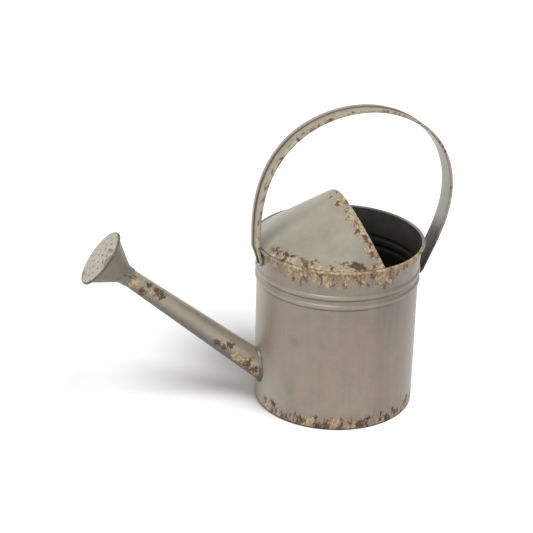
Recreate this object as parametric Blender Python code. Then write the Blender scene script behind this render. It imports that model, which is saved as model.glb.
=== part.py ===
"""Small round watering can of soldered sheet metal, with a half cover over the mouth.

The can stands on z = 0 and its axis is Z. The strap handle arches over the mouth in
the XZ plane. The spout leaves the wall on the -X side and carries a perforated rose.
Run it with Blender: it builds one object for each piece, in metres.
"""

import math

import bmesh
import bpy
from mathutils import Matrix, Vector

# Sheet and fits
SHEET = 0.0007
GAP = 0.0003
SMOOTH_ANGLE = math.radians(35.0)
EDGE_STEPS = 4

# Wall of the can
WALL_RADIUS = 0.075
RIM_HEIGHT = 0.1616
FOOT_ROUND = 0.0008
MOUTH_FLARE = 0.0023
WIRED_EDGE_RADIUS = 0.0012
WIRED_EDGE_STEPS = 8
BEAD_HEIGHTS = (0.1251, 0.1342)
BEAD_HALF_WIDTH = 0.0027
BEAD_RISE = 0.0015
BEAD_STEPS = 4
SEAM_ANGLE = math.radians(38.0)
SEAM_WIDTH = 0.0045
SEAM_RISE = 0.0006
ROUND_STEPS = 64

# Bottom
BASE_FLANGE = 0.006

# Half cover
COVER_SKIRT = 0.005
COVER_HALF_ANGLE = math.radians(98.5)
COVER_RISE = 0.0462
COVER_LEAN = math.radians(15.0)
COVER_ARCH = 1.61
COVER_FAN = 2.1
COVER_STEPS = 44
COVER_ROWS = 6

# Spout
SPOUT_SIDE_ANGLE = math.radians(6.3)
SPOUT_HEADING = math.radians(11.0)
SPOUT_SLOPE = math.radians(39.3)
SPOUT_FOOT_HEIGHT = 0.0387
SPOUT_FOOT_RADIUS = 0.01234
SPOUT_MOUTH_RADIUS = 0.0081
SPOUT_LENGTH = 0.1605
SPOUT_FLARE = 0.0014
SPOUT_FLARE_LENGTH = 0.0035
SPOUT_FLARE_CURVE = 0.35
SPOUT_STEPS = 32

# Rose
ROSE_RADIUS = 0.0273
ROSE_CONE_LENGTH = 0.0262
ROSE_COLLAR_LENGTH = 0.006
ROSE_NECK_BLEND = 0.0016
ROSE_SKIRT = 0.0012
ROSE_EDGE_ROUND = 0.0011
ROSE_DOME = 0.0042
ROSE_DOME_STEPS = 6
ROSE_STEPS = 48
ROSE_HOLE_RADIUS = 0.0010
ROSE_RING_PITCH = 0.0066
ROSE_RINGS = 4
ROSE_HOLES_PER_RING = 6
ROSE_HOLE_SIDES = 6

# Handle
STRAP_WIDTH = 0.0190
STRAP_SHEET = 0.0013
STRAP_HEM = 0.0027
STRAP_HEM_STEPS = 8
FRONT_LEG_TOP = 0.1777
FRONT_STAND = 0.0008
FRONT_LEG_FOOT = 0.1635
FRONT_TAIL_TIP = 0.1455
FRONT_TAIL_REST = 0.0025
FRONT_TAIL_WIDTH = 0.0098
BEND_PULL = 0.0030
CROWN = (0.0153, 0.2834)
BACK = (0.1094, 0.1968)
REAR_KNEE = (0.0847, 0.1199)
REAR_KNEE_SLOPE = math.radians(66.0)
REAR_PAD_TOP = 0.1120
REAR_TAIL = 0.010
HANDLE_PULLS = (0.0874, 0.0371, 0.0431, 0.0576, 0.0281, 0.0294)
HANDLE_STEPS = 14
HANDLE_BEND_STEPS = 5

WALL_BORE_RADIUS = WALL_RADIUS - SHEET
MOUTH_RADIUS = WALL_RADIUS + MOUTH_FLARE
LIP_RADIUS = MOUTH_RADIUS + 2.0 * WIRED_EDGE_RADIUS
WIRE_HEIGHT = RIM_HEIGHT - WIRED_EDGE_RADIUS
FLARE_START = max(BEAD_HEIGHTS) + BEAD_HALF_WIDTH
COVER_RADIUS = MOUTH_RADIUS - SHEET - GAP
COLLAR_BORE_RADIUS = SPOUT_MOUTH_RADIUS + GAP


def clear_scene():
    """Remove every object, so that the file holds only the can."""
    for item in list(bpy.data.objects):
        bpy.data.objects.remove(item, do_unlink=True)


def make_material(name, color, roughness, metallic):
    """Return a plain material with the piece's own colour."""
    material = bpy.data.materials.new(name)
    material.use_nodes = True
    shader = material.node_tree.nodes["Principled BSDF"]
    shader.inputs["Base Color"].default_value = (*color, 1.0)
    shader.inputs["Roughness"].default_value = roughness
    shader.inputs["Metallic"].default_value = metallic
    return material


def add_piece(name, mesh_source, material):
    """Turn a bmesh into a smooth shaded object with its faces pointing out."""
    bmesh.ops.recalc_face_normals(mesh_source, faces=mesh_source.faces)
    mesh = bpy.data.meshes.new(name)
    mesh_source.to_mesh(mesh)
    mesh_source.free()
    mesh.materials.append(material)
    mesh.shade_smooth()
    mesh.set_sharp_from_angle(angle=SMOOTH_ANGLE)
    piece = bpy.data.objects.new(name, mesh)
    bpy.context.scene.collection.objects.link(piece)
    return piece


def loft(rings, closed_path):
    """Skin a row of rings of equal length; an open row gets a flat face at each end."""
    built = bmesh.new()
    loops = [[built.verts.new(point) for point in ring] for ring in rings]
    pairs = list(zip(loops, loops[1:]))
    if closed_path:
        pairs.append((loops[-1], loops[0]))
    else:
        built.faces.new(loops[0])
        built.faces.new(loops[-1])
    for lower, upper in pairs:
        for i, corner in enumerate(lower):
            j = (i + 1) % len(lower)
            built.faces.new((corner, lower[j], upper[j], upper[i]))
    return built


def circle(radius, height, steps):
    """Points of a level circle round the Z axis."""
    turns = (math.tau * i / steps for i in range(steps))
    return [Vector((radius * math.cos(a), radius * math.sin(a), height)) for a in turns]


def arc(center, radius, start, end, steps, reach=None):
    """Points of an arc in a radius-height plane, both ends included.

    The angles are in degrees. A reach makes the arc part of an ellipse, that wide and
    as tall as the radius.
    """
    wide = reach or radius
    angles = (math.radians(start + (end - start) * i / steps) for i in range(steps + 1))
    return [(center[0] + wide * math.cos(a), center[1] + radius * math.sin(a)) for a in angles]


def bead_outline(radius, height):
    """Arc of one pressed bead, from below to above."""
    bend = (BEAD_HALF_WIDTH ** 2 + BEAD_RISE ** 2) / (2.0 * BEAD_RISE)
    reach = math.degrees(math.asin(BEAD_HALF_WIDTH / bend))
    return arc((radius + BEAD_RISE - bend, height), bend, -reach, reach, BEAD_STEPS)


def wall_radius(height):
    """Outside radius of the plain wall, which flares a little above the beads."""
    share = (height - FLARE_START) / (WIRE_HEIGHT - FLARE_START)
    return WALL_RADIUS + MOUTH_FLARE * min(max(share, 0.0), 1.0)


def wall_profile():
    """Section of the wall: up the outside, round the wired edge and down the bore."""
    outside = [(WALL_RADIUS - FOOT_ROUND, 0.0), (WALL_RADIUS, FOOT_ROUND)]
    for height in BEAD_HEIGHTS:
        outside += bead_outline(WALL_RADIUS, height)
    wire = (LIP_RADIUS - WIRED_EDGE_RADIUS, WIRE_HEIGHT)
    outside += arc(wire, WIRED_EDGE_RADIUS, -150.0, 90.0, WIRED_EDGE_STEPS)
    fold = wire[0] - (MOUTH_RADIUS - SHEET)
    inside = arc(wire, WIRED_EDGE_RADIUS, 90.0, 180.0, EDGE_STEPS, reach=fold)[1:]
    for height in reversed(BEAD_HEIGHTS):
        inside += reversed(bead_outline(WALL_BORE_RADIUS, height))
    inside.append((WALL_BORE_RADIUS, 0.0))
    return outside, inside


def wall_columns():
    """Angles round the wall, with how far the lapped seam lifts the outside there."""
    half = SEAM_WIDTH / 2.0 / WALL_RADIUS
    slope = SEAM_RISE / WALL_RADIUS
    seam = {
        SEAM_ANGLE - half - slope: 0.0,
        SEAM_ANGLE - half: SEAM_RISE,
        SEAM_ANGLE + half: SEAM_RISE,
        SEAM_ANGLE + half + slope: 0.0,
    }
    columns = dict(seam)
    for i in range(ROUND_STEPS):
        angle = math.tau * i / ROUND_STEPS
        if abs(angle - SEAM_ANGLE) > half + 2.0 * slope:
            columns[angle] = 0.0
    return sorted(columns.items())


def spout_frame():
    """Matrix of the spout: origin where its axis meets the wall, Z towards the rose."""
    foot = Vector((-math.cos(SPOUT_SIDE_ANGLE), math.sin(SPOUT_SIDE_ANGLE), 0.0)) * WALL_RADIUS
    foot.z = SPOUT_FOOT_HEIGHT
    turn = Matrix.Rotation(-SPOUT_HEADING, 4, "Z")
    tilt = Matrix.Rotation(SPOUT_SLOPE - math.pi / 2.0, 4, "Y")
    return Matrix.Translation(foot) @ turn @ tilt


def make_wall(material):
    """Rolled wall with its lip, beads and lapped seam, and the hole for the spout."""
    outside, inside = wall_profile()
    columns = wall_columns()
    rings = []
    for radius, height in outside:
        lifts = height <= FLARE_START
        ring = []
        for angle, rise in columns:
            reach = radius + (rise if lifts else 0.0)
            ring.append(Vector((reach * math.cos(angle), reach * math.sin(angle), height)))
        rings.append(ring)
    for radius, height in inside:
        rings.append([Vector((radius * math.cos(a), radius * math.sin(a), height)) for a, _ in columns])
    wall = add_piece("can_wall", loft(rings, closed_path=True), material)
    cutter = loft(
        [circle(SPOUT_FOOT_RADIUS - SHEET, -SPOUT_FOOT_RADIUS * 2.0, SPOUT_STEPS),
         circle(SPOUT_FOOT_RADIUS - SHEET, SPOUT_FOOT_RADIUS * 2.0, SPOUT_STEPS)],
        closed_path=False,
    )
    bore = add_piece("spout_hole_cutter", cutter, material)
    bore.matrix_world = spout_frame()
    bore.hide_render = True
    bore.display_type = "WIRE"
    cut = wall.modifiers.new("spout hole", "BOOLEAN")
    cut.operation = "DIFFERENCE"
    cut.solver = "EXACT"
    cut.object = bore
    return wall


def make_base(material):
    """Flat bottom with its edge turned up inside the foot of the wall."""
    radius = WALL_BORE_RADIUS - GAP
    profile = [
        (radius - SHEET, 0.0),
        (radius, SHEET),
        (radius, BASE_FLANGE),
        (radius - SHEET, BASE_FLANGE),
        (radius - SHEET, SHEET * 2.0),
        (radius - SHEET * 2.0, SHEET),
    ]
    rings = [circle(r, z, ROUND_STEPS) for r, z in profile]
    return add_piece("base_disc", loft(rings, closed_path=False), material)


def cover_point(turn, up, inset):
    """Point of the cover: turn runs over the arch from -1 to 1, up from the mouth to the free edge.

    The sheet is ruled: straight lines join a circle in the mouth to an arch that leans
    towards the spout. The inset moves the point in by the sheet's thickness.
    """
    radius = COVER_RADIUS - inset
    angle = turn * COVER_HALF_ANGLE
    seat = Vector((-radius * math.cos(angle), radius * math.sin(angle), RIM_HEIGHT))
    across = math.copysign(abs(turn) ** COVER_FAN, turn)
    rise = (COVER_RISE - inset) * (1.0 - abs(across) ** COVER_ARCH)
    arch = Vector((
        -radius * math.cos(COVER_HALF_ANGLE) - rise * math.sin(COVER_LEAN),
        radius * math.sin(COVER_HALF_ANGLE) * across,
        RIM_HEIGHT + rise * math.cos(COVER_LEAN),
    ))
    return seat.lerp(arch, up)


def cover_skirt(turn, inset):
    """Lower edge of the cover's skirt, inside the mouth."""
    height = RIM_HEIGHT - COVER_SKIRT
    radius = wall_radius(height) - SHEET - GAP - inset
    angle = turn * COVER_HALF_ANGLE
    return Vector((-radius * math.cos(angle), radius * math.sin(angle), height))


def make_cover(material):
    """Arched half cover: a skirt soldered inside the mouth and a ruled sheet above it."""
    turns = [2.0 * i / COVER_STEPS - 1.0 for i in range(COVER_STEPS + 1)]
    ups = [i / COVER_ROWS for i in range(COVER_ROWS + 1)]
    rings = []
    for turn in turns:
        outer = [cover_skirt(turn, 0.0)] + [cover_point(turn, up, 0.0) for up in ups]
        inner = [cover_skirt(turn, SHEET)] + [cover_point(turn, up, SHEET) for up in ups]
        rings.append(outer + inner[::-1])
    return add_piece("half_cover", loft(rings, closed_path=False), material)


def on_wall(point, direction, radius):
    """Slide a point along a direction to the outside of an upright cylinder."""
    a = direction.x ** 2 + direction.y ** 2
    b = point.x * direction.x + point.y * direction.y
    c = point.x ** 2 + point.y ** 2 - radius ** 2
    return point + direction * ((-b + math.sqrt(b * b - a * c)) / a)


def make_spout(material):
    """Tapered tube whose foot is cut and flared to the round of the wall."""
    frame = spout_frame()
    axis = frame.to_3x3() @ Vector((0.0, 0.0, 1.0))
    taper = (SPOUT_MOUTH_RADIUS - SPOUT_FOOT_RADIUS) / SPOUT_LENGTH
    seat = WALL_RADIUS + GAP

    def foot_ring(extra, lift):
        """Ring on the wall's round, lifted along the tube."""
        ring = []
        for point in circle(1.0, 0.0, SPOUT_STEPS):
            side = frame.to_3x3() @ point
            start = frame.translation + side * (SPOUT_FOOT_RADIUS + extra)
            slant = axis + side * taper
            ring.append(on_wall(start, slant, seat) + slant * lift)
        return ring

    def mouth_ring(radius):
        """Ring square to the axis at the open end."""
        return [frame @ point for point in circle(radius, SPOUT_LENGTH, SPOUT_STEPS)]

    outer = [
        foot_ring(SPOUT_FLARE, 0.0),
        foot_ring(SPOUT_FLARE * SPOUT_FLARE_CURVE, SPOUT_FLARE_LENGTH * SPOUT_FLARE_CURVE),
        foot_ring(0.0, SPOUT_FLARE_LENGTH),
        mouth_ring(SPOUT_MOUTH_RADIUS),
    ]
    inner = [
        mouth_ring(SPOUT_MOUTH_RADIUS - SHEET),
        foot_ring(-SHEET, SPOUT_FLARE_LENGTH),
        foot_ring(-SHEET, 0.0),
    ]
    return add_piece("spout", loft(outer + inner, closed_path=True), material)


def make_cone(material):
    """Funnel of the rose with the collar that slips over the end of the spout."""
    neck = COLLAR_BORE_RADIUS + SHEET
    wide = ROSE_RADIUS - ROSE_EDGE_ROUND - GAP
    slope = math.atan2(ROSE_CONE_LENGTH, wide - neck)
    wall = SHEET / math.sin(slope)
    profile = [
        (neck, -ROSE_COLLAR_LENGTH),
        (neck, -ROSE_NECK_BLEND),
        (neck + ROSE_NECK_BLEND * math.cos(slope), ROSE_NECK_BLEND * math.sin(slope)),
        (wide, ROSE_CONE_LENGTH),
        (wide - wall, ROSE_CONE_LENGTH),
        (COLLAR_BORE_RADIUS, (wall - SHEET) * math.tan(slope)),
        (COLLAR_BORE_RADIUS, -ROSE_COLLAR_LENGTH),
    ]
    rings = [circle(r, z + SPOUT_LENGTH, ROSE_STEPS) for r, z in profile]
    cone = add_piece("rose_cone", loft(rings, closed_path=True), material)
    cone.matrix_world = spout_frame()
    return cone


def dome_height(radius):
    """Height of the plate's dome above its shoulder, a shallow round cap."""
    reach = ROSE_RADIUS - ROSE_EDGE_ROUND
    sphere = (reach ** 2 + ROSE_DOME ** 2) / (2.0 * ROSE_DOME)
    return math.sqrt(sphere ** 2 - radius ** 2) - (sphere - ROSE_DOME)


def make_plate(material):
    """Domed face of the rose, capped over the funnel's edge and drilled in rings."""
    face = ROSE_CONE_LENGTH + GAP + SHEET
    shoulder = face - ROSE_EDGE_ROUND
    reach = ROSE_RADIUS - ROSE_EDGE_ROUND
    dome = [reach * i / ROSE_DOME_STEPS for i in range(1, ROSE_DOME_STEPS)]
    outside = [(r, face + dome_height(r)) for r in dome]
    outside += reversed(arc((reach, shoulder), ROSE_EDGE_ROUND, 0.0, 90.0, EDGE_STEPS))
    outside.append((ROSE_RADIUS, face - SHEET - ROSE_SKIRT))
    inside = [
        (ROSE_RADIUS - SHEET, face - SHEET - ROSE_SKIRT),
        (ROSE_RADIUS - SHEET, shoulder),
        (reach, face - SHEET),
    ]
    inside += [(r, face - SHEET + dome_height(r)) for r in reversed(dome)]
    rings = [circle(r, z + SPOUT_LENGTH, ROSE_STEPS) for r, z in outside + inside]
    plate = add_piece("rose_plate", loft(rings, closed_path=False), material)
    plate.matrix_world = spout_frame()

    drills = bmesh.new()
    for ring in range(ROSE_RINGS):
        count = max(1, ring * ROSE_HOLES_PER_RING)
        for hole in range(count):
            angle = math.tau * hole / count
            radius = ring * ROSE_RING_PITCH
            place = Vector((radius * math.cos(angle), radius * math.sin(angle), SPOUT_LENGTH + face))
            bmesh.ops.create_cone(
                drills,
                cap_ends=True,
                segments=ROSE_HOLE_SIDES,
                radius1=ROSE_HOLE_RADIUS,
                radius2=ROSE_HOLE_RADIUS,
                depth=ROSE_DOME * 4.0,
                matrix=Matrix.Translation(place),
            )
    drill = add_piece("rose_hole_cutter", drills, material)
    drill.matrix_world = spout_frame()
    drill.hide_render = True
    drill.display_type = "WIRE"
    cut = plate.modifiers.new("holes", "BOOLEAN")
    cut.operation = "DIFFERENCE"
    cut.solver = "EXACT"
    cut.object = drill
    return plate


def bezier(start, start_pull, end_pull, end, steps):
    """Points of a cubic curve, without its first point."""
    points = []
    for i in range(1, steps + 1):
        t = i / steps
        s = 1.0 - t
        points.append(
            start * s ** 3 + start_pull * 3.0 * s * s * t + end_pull * 3.0 * s * t * t + end * t ** 3
        )
    return points


def handle_path():
    """Middle line of the strap in the XZ plane, from the front tail to the rear tail.

    Each station gives a place, the way the strap runs there, how far it holds that way
    before and after the place, and the steps of the curve to the next station.
    """
    half = STRAP_HEM / 2.0
    rest_top = FRONT_TAIL_TIP + FRONT_TAIL_REST
    front_pad = -(wall_radius(rest_top) + GAP + half)
    front_leg = -(LIP_RADIUS + FRONT_STAND + half)
    rear_pad = WALL_RADIUS + GAP + half
    rear_way = Vector((-math.cos(REAR_KNEE_SLOPE), -math.sin(REAR_KNEE_SLOPE)))
    up = Vector((0.0, 1.0))
    back = Vector((1.0, 0.0))
    stations = [
        (Vector((front_pad, FRONT_TAIL_TIP)), up, 0.0, BEND_PULL, 1),
        (Vector((front_pad, rest_top)), up, BEND_PULL, BEND_PULL, HANDLE_BEND_STEPS),
        (Vector((front_leg, FRONT_LEG_FOOT)), up, BEND_PULL, BEND_PULL, 1),
        (Vector((front_leg, FRONT_LEG_TOP)), up, BEND_PULL, HANDLE_PULLS[0], HANDLE_STEPS),
        (Vector(CROWN), back, HANDLE_PULLS[1], HANDLE_PULLS[2], HANDLE_STEPS),
        (Vector(BACK), -up, HANDLE_PULLS[3], HANDLE_PULLS[4], HANDLE_STEPS),
        (Vector(REAR_KNEE), rear_way, HANDLE_PULLS[5], BEND_PULL, HANDLE_BEND_STEPS),
        (Vector((rear_pad, REAR_PAD_TOP)), -up, BEND_PULL, BEND_PULL, 1),
        (Vector((rear_pad, REAR_PAD_TOP - REAR_TAIL)), -up, BEND_PULL, BEND_PULL, 1),
    ]
    path = [stations[0][0]]
    for here, following in zip(stations, stations[1:]):
        start, way, _, pull, steps = here
        end, end_way, end_pull, _, _ = following
        path += bezier(start, start + way * pull, end - end_way * end_pull, end, steps)
    return path


def strap_width(spot):
    """Width of the strap, which narrows to a tongue down the front tail."""
    share = (spot.y - FRONT_TAIL_TIP) / (FRONT_LEG_FOOT - FRONT_TAIL_TIP)
    if spot.x > 0.0 or share > 1.0:
        return STRAP_WIDTH
    return FRONT_TAIL_WIDTH + (STRAP_WIDTH - FRONT_TAIL_WIDTH) * share


def strap_section(width):
    """Section of the strap as (across, out): flat inside, a round hem along each edge outside."""
    radius = STRAP_HEM / 2.0
    middle = width / 2.0 - radius
    web = STRAP_SHEET - radius
    reach = math.degrees(math.acos(web / radius)) - 90.0
    right = arc((middle, 0.0), radius, -90.0, 180.0 + reach, STRAP_HEM_STEPS)
    left = [(-across, out) for across, out in reversed(right)]
    return right + left


def make_handle(material):
    """Strap handle with hemmed edges, swept along its middle line."""
    path = handle_path()
    rings = []
    for i, place in enumerate(path):
        before = path[max(i - 1, 0)]
        after = path[min(i + 1, len(path) - 1)]
        way = (after - before).normalized()
        outward = Vector((-way.y, way.x))
        ring = []
        for across, out in strap_section(strap_width(place)):
            spot = place + outward * out
            ring.append(Vector((spot.x, across, spot.y)))
        rings.append(ring)
    return add_piece("handle", loft(rings, closed_path=False), material)


def main():
    """Build the can."""
    clear_scene()
    body_paint = make_material("aged_body_paint", (0.33, 0.31, 0.27), 0.55, 0.35)
    cover_paint = make_material("aged_cover_paint", (0.35, 0.33, 0.29), 0.55, 0.35)
    base_paint = make_material("aged_base_paint", (0.22, 0.19, 0.16), 0.65, 0.30)
    spout_paint = make_material("aged_spout_paint", (0.31, 0.29, 0.25), 0.55, 0.35)
    cone_paint = make_material("aged_cone_paint", (0.29, 0.27, 0.23), 0.55, 0.35)
    plate_paint = make_material("aged_rose_paint", (0.52, 0.49, 0.42), 0.60, 0.20)
    strap_paint = make_material("aged_strap_paint", (0.36, 0.31, 0.23), 0.60, 0.30)
    make_wall(body_paint)
    make_base(base_paint)
    make_cover(cover_paint)
    make_spout(spout_paint)
    make_cone(cone_paint)
    make_plate(plate_paint)
    make_handle(strap_paint)


if __name__ == "__main__":
    main()
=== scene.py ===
"""Aged watering can of soldered sheet metal: smooth surfaces and worn finishes.

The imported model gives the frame, in metres: the can stands on z = 0, the spout leaves
it towards -X and the strap handle lies in the XZ plane. Each operator makes one piece
in its place and gives it its finish; the last one makes the floor, lamps and camera.
"""

import math

import bmesh
import bpy
from bpy.props import FloatProperty, FloatVectorProperty, IntProperty, PointerProperty
from mathutils import Matrix, Vector


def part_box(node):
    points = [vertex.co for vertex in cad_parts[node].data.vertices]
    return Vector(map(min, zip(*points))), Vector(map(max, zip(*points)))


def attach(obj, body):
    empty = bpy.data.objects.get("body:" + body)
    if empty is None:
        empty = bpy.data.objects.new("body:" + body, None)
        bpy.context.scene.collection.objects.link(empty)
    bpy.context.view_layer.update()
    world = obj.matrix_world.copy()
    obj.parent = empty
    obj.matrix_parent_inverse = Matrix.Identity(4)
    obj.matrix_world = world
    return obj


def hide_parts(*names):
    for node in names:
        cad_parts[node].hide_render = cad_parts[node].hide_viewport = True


bl_info = {
    "name": "Rusty Watering Can",
    "version": (1, 0, 0),
    "blender": (4, 5, 0),
    "location": "View3D > Sidebar > Watering Can",
    "description": "Builds the smooth surfaces and worn finishes of a sheet metal watering can",
    "category": "Object",
}

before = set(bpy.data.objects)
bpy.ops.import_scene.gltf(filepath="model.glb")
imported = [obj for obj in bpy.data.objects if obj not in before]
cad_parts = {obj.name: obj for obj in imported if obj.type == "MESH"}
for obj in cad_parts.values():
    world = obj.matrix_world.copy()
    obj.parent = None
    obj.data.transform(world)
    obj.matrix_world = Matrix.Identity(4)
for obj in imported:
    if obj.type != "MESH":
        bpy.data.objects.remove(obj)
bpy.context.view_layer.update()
RIM_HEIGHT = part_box("can_wall")[1].z

# Fits shared by all pieces
SHEET = 0.0007
GAP = 0.0003
SMOOTH_ANGLE = math.radians(35.0)

# Wall of the can
WALL_RADIUS = 0.075
FOOT_ROUND = 0.0008
MOUTH_FLARE = 0.0023
WIRED_EDGE_RADIUS = 0.0012
BEAD_HEIGHTS = (0.1251, 0.1342)
BEAD_HALF_WIDTH = 0.0027
BEAD_RISE = 0.0015
BEAD_STEPS = 14
EDGE_STEPS = 10
WIRED_EDGE_STEPS = 22
SEAM_ANGLE = math.radians(38.0)
SEAM_WIDTH = 0.0045
SEAM_RISE = 0.0006
ROUND_STEPS = 240
BASE_FLANGE = 0.006

# Half cover
COVER_SKIRT = 0.005
COVER_HALF_ANGLE = math.radians(98.5)
COVER_RISE = 0.0462
COVER_LEAN = math.radians(15.0)
COVER_ARCH = 1.61
COVER_FAN = 2.1
COVER_STEPS = 140
COVER_ROWS = 18

# Spout
SPOUT_SIDE_ANGLE = math.radians(6.3)
SPOUT_HEADING = math.radians(11.0)
SPOUT_SLOPE = math.radians(39.3)
SPOUT_FOOT_HEIGHT = 0.0387
SPOUT_FOOT_RADIUS = 0.01234
SPOUT_MOUTH_RADIUS = 0.0081
SPOUT_LENGTH = 0.1605
SPOUT_FLARE = 0.0014
SPOUT_FLARE_LENGTH = 0.0035
SPOUT_STEPS = 96
SPOUT_ROWS = 24
SPOUT_FLARE_ROWS = 6

# Rose
ROSE_RADIUS = 0.0273
ROSE_CONE_LENGTH = 0.0262
ROSE_COLLAR_LENGTH = 0.006
ROSE_NECK_BLEND = 0.0016
ROSE_SKIRT = 0.0012
ROSE_EDGE_ROUND = 0.0011
ROSE_DOME = 0.0042
ROSE_STEPS = 128
ROSE_DOME_STEPS = 20
ROSE_HOLE_RADIUS = 0.0010
ROSE_RING_PITCH = 0.0066
ROSE_RINGS = 3
ROSE_HOLES_PER_RING = 6
ROSE_HOLE_SIDES = 14

# Handle
STRAP_WIDTH = 0.0190
STRAP_SHEET = 0.0013
STRAP_HEM = 0.0027
HEM_FOLD = 0.0048
HEM_FOLD_ROUND = 0.0006
HEM_EDGE = 0.0010
FRONT_STAND = 0.0008
FRONT_LEG_FOOT = 0.1635
FRONT_LEG_TOP = 0.1777
FRONT_TAIL_TIP = 0.1455
FRONT_TAIL_REST = 0.0025
FRONT_TAIL_WIDTH = 0.0098
BEND_PULL = 0.0030
CROWN = (0.0153, 0.2834)
BACK = (0.1094, 0.1968)
REAR_KNEE = (0.0847, 0.1199)
REAR_KNEE_SLOPE = math.radians(66.0)
REAR_PAD_TOP = 0.1120
REAR_TAIL = 0.010
HANDLE_PULLS = (0.0874, 0.0371, 0.0431, 0.0576, 0.0281, 0.0294)
HANDLE_STEPS = 60
HANDLE_BEND_STEPS = 12
HEM_STEPS = 18
INWARD_SHARE = 0.6
SIDEWAYS_SHARE = 0.5

WALL_BORE_RADIUS = WALL_RADIUS - SHEET
MOUTH_RADIUS = WALL_RADIUS + MOUTH_FLARE
LIP_RADIUS = MOUTH_RADIUS + 2.0 * WIRED_EDGE_RADIUS
WIRE_HEIGHT = RIM_HEIGHT - WIRED_EDGE_RADIUS
FLARE_START = max(BEAD_HEIGHTS) + BEAD_HALF_WIDTH
COVER_RADIUS = MOUTH_RADIUS - SHEET - GAP
COLLAR_BORE_RADIUS = SPOUT_MOUTH_RADIUS + GAP
SPOUT_DRILL_REACH = SPOUT_FOOT_RADIUS * 2.0
ROSE_DRILL_LENGTH = ROSE_DOME * 4.0

# Camera and stage
CAMERA_PLACE = (-0.5479, -1.1806, 0.7296)
CAMERA_WAY = (0.34015, 0.8419, -0.41893)
CAMERA_ROLL = 0.0201
CAMERA_LENS = 104.18
CAMERA_SENSOR = 36.0
FLOOR_SIZE = 40.0
FLOOR_BOUNCE = (0.5, 0.5, 0.5)
KEY_WAY = (0.256, -0.513, 0.820)
SOFT_LAMP_PLACE = (-0.95, -0.80, 1.90)
SOFT_LAMP_SIZE = 0.9

# Shine of the paint, its brush marks, and the side on which a painted sheen lightens the wall's edge
PAINT_ROUGHNESS = 0.42
PAINT_METALLIC = 0.35
PAINT_COAT = 0.5
COAT_ROUGHNESS = 0.35
UPRIGHT_GRAIN = (150.0, 150.0, 7.0)
STRAP_GRAIN = (40.0, 400.0, 40.0)
SHEEN_SIDE_WAY = (-0.927, 0.375)

# Worn places, and spots of painted light: x, y, z and radius of each
RIM_WEAR = (
    (-0.060, -0.047, 0.156, 0.026), (-0.044, -0.062, 0.152, 0.030), (-0.020, -0.074, 0.152, 0.032),
    (0.010, -0.076, 0.154, 0.028), (0.036, -0.068, 0.155, 0.022), (0.052, -0.058, 0.155, 0.020),
    (-0.075, -0.020, 0.155, 0.010))
FOOT_WEAR = (
    (-0.069, -0.028, 0.006, 0.027), (-0.055, -0.051, 0.004, 0.028), (-0.034, -0.067, 0.004, 0.026),
    (-0.010, -0.074, 0.004, 0.020), (0.016, -0.073, 0.008, 0.018), (0.034, -0.066, 0.006, 0.016),
    (0.052, -0.054, 0.010, 0.018))
# Spots of painted sheen low on the wall's left edge
PAINTED_SHEEN_WALL = ((-0.074, -0.012, 0.022, 0.034), (-0.074, -0.006, 0.045, 0.018))
SMEARED_WALL = ((-0.060, -0.045, 0.085, 0.012), (0.058, -0.047, 0.086, 0.014))
# Spot of painted highlight low on the wall's front
PAINTED_HIGHLIGHT_WALL = ((-0.016, -0.073, 0.034, 0.036),)
COVER_EDGE_WEAR = (
    (-0.002, -0.055, 0.177, 0.020), (0.002, -0.068, 0.168, 0.022), (-0.002, -0.028, 0.194, 0.010),
    (-0.006, 0.004, 0.202, 0.008), (0.002, 0.060, 0.172, 0.024), (-0.001, -0.042, 0.187, 0.014),
    (-0.003, -0.010, 0.200, 0.011))
COVER_SEAT_WEAR = (
    (-0.068, -0.017, 0.164, 0.011), (-0.062, -0.034, 0.164, 0.012), (-0.048, -0.051, 0.164, 0.020),
    (-0.026, -0.066, 0.164, 0.022), (-0.004, -0.071, 0.165, 0.022), (-0.030, 0.068, 0.164, 0.020))
COVER_BROWN = ((-0.016, -0.073, 0.167, 0.011), (-0.066, -0.030, 0.168, 0.010))
SPOUT_FLAKES = (
    (-0.190, 0.022, 0.135, 0.011), (-0.184, 0.021, 0.128, 0.006), (-0.172, 0.019, 0.124, 0.008),
    (-0.098, 0.000, 0.053, 0.009), (-0.089, -0.001, 0.046, 0.012), (-0.082, -0.003, 0.037, 0.009))
SPOUT_BROWN = (
    (-0.183, 0.021, 0.125, 0.006), (-0.176, 0.021, 0.130, 0.006), (-0.165, 0.018, 0.120, 0.007),
    (-0.169, 0.020, 0.125, 0.005), (-0.116, 0.005, 0.069, 0.006), (-0.110, 0.004, 0.064, 0.004),
    (-0.104, 0.003, 0.066, 0.006), (-0.089, -0.001, 0.044, 0.007), (-0.082, -0.002, 0.039, 0.006))
ROSE_WEAR = ((-0.216, 0.012, 0.163, 0.010), (-0.231, 0.040, 0.142, 0.008), (-0.213, 0.020, 0.170, 0.006))


def tone(red, green, blue):
    """Linear colour of the tone that an eye reads as these three shares of 255."""
    shares = []
    for level in (red, green, blue):
        share = level / 255.0
        shares.append(share / 12.92 if share <= 0.04045 else ((share + 0.055) / 1.055) ** 2.4)
    return tuple(shares)


# Tones of single places
# Pale tone of the painted sheen on the wall's left edge
PAINTED_SHEEN_TONE = tone(186, 184, 168)
DRIP_STAIN = tone(142, 112, 99)
ROSE_TONES = (tone(212, 206, 191), tone(176, 168, 153))
ROSE_STAIN = tone(134, 120, 104)
# Dark tone of the painted shadow along the rose's rim
ROSE_RIM_SHADOW = tone(88, 80, 70)
WEB_TONES = (tone(188, 180, 163), tone(170, 158, 144))
NEAR_HEM_TONES = (tone(196, 180, 146), tone(190, 182, 162))
FAR_HEM_PAINT = tone(184, 182, 170)
STRAP_INSIDE_PAINT = tone(176, 178, 170)
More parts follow.
